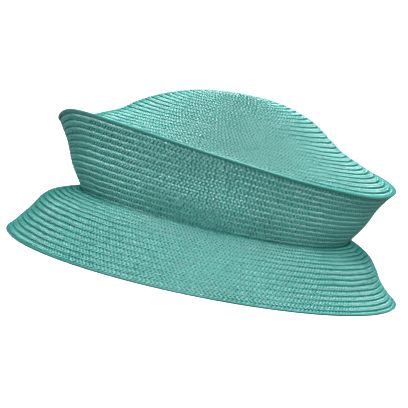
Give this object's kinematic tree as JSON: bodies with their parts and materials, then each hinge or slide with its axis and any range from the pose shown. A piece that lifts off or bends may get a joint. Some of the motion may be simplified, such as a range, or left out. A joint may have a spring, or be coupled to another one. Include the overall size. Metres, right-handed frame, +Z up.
{
  "type": "woven sisal hat",
  "caption": "Woven sisal hat: low dome inside a standing folded rim, wall narrowing to a deep groove, rounded shoulder and down-turned flared brim.",
  "frame": {"origin": "on the ground, under the middle of the brim's edge", "axes": "+Z up out of the crown's tip; +X along the long axis of the head, to the right in the picture; -Y towards the viewer"},
  "size_m": [0.307, 0.263, 0.1353],
  "materials": {
    "crown_straw": "turquoise sisal, woven in slanted rows, satin",
    "brim_straw": "turquoise sisal, woven in slanted rows, satin"
  },
  "bodies": {
    "root": {"crown": "crown_straw", "brim": "brim_straw"}
  },
  "joints": []
}
